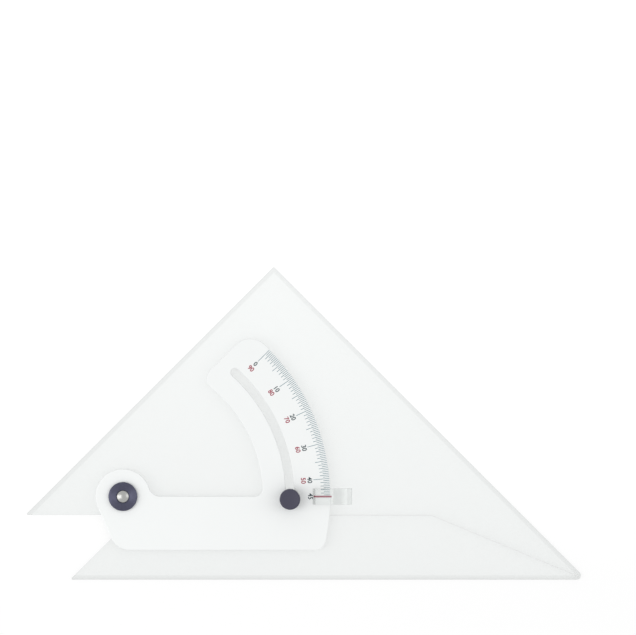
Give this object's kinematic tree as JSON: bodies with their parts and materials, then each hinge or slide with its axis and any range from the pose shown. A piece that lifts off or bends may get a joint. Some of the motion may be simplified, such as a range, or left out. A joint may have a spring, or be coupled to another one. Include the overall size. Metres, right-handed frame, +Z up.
{
  "type": "adjustable set square",
  "caption": "Drafting set square of two clear plates: a triangular plate swings on a base blade, is read on a white angle scale and is clamped by a small knob.",
  "frame": {"origin": "the pivot axis at the plane of the two plates' undersides", "axes": "+X to the right along the ruling edge, +Y from the ruling edge towards the apex, +Z up through the plates towards the scale"},
  "size_m": [0.323, 0.182, 0.0132],
  "materials": {
    "clear_acrylic": "polished clear cast acrylic",
    "white_plastic": "satin opaque white sheet",
    "dark_ink": "thin printed ink",
    "red_ink": "filled engraving",
    "steel": "polished",
    "dark_anodised": "turned and anodised dark slate",
    "slate_plastic": "fine matte moulding",
    "nylon": "natural",
    "brass": "turned",
    "cement_film": "bonded film"
  },
  "bodies": {
    "blade": {"base_blade": "clear_acrylic", "arm_spacer": "cement_film", "scale_arm": "white_plastic", "scale_graduations": "dark_ink", "pivot_rivet": "steel", "pivot_collar": "dark_anodised"},
    "square": {"set_square": "clear_acrylic", "pivot_bush": "nylon", "pivot_washer": "nylon", "index_tab": "clear_acrylic", "index_line": "red_ink", "clamp_stud": "steel", "clamp_shim": "nylon"},
    "clamp_ring": {"clamp_washer": "steel"},
    "knob": {"clamp_knob": "slate_plastic", "knob_insert": "brass"}
  },
  "joints": [
    {"name": "square_swing", "type": "hinge", "parent": "blade", "child": "square", "pos_m": [0, 0, 0], "axis": [0, 0, 1], "range_deg": [0, 45]},
    {"name": "knob_lift", "type": "slide", "parent": "square", "child": "clamp_ring", "axis": [0, 0, 1], "range_m": [0, 0.0007]},
    {"name": "knob_turn", "type": "hinge", "parent": "clamp_ring", "child": "knob", "pos_m": [0.09719, -0.00136, 0], "axis": [0, 0, 1], "range_deg": [0, 360]}
  ],
  "couplings": [
    {"joint": "knob_turn", "follows": "knob_lift", "rad_per_m": 8975.9}
  ]
}
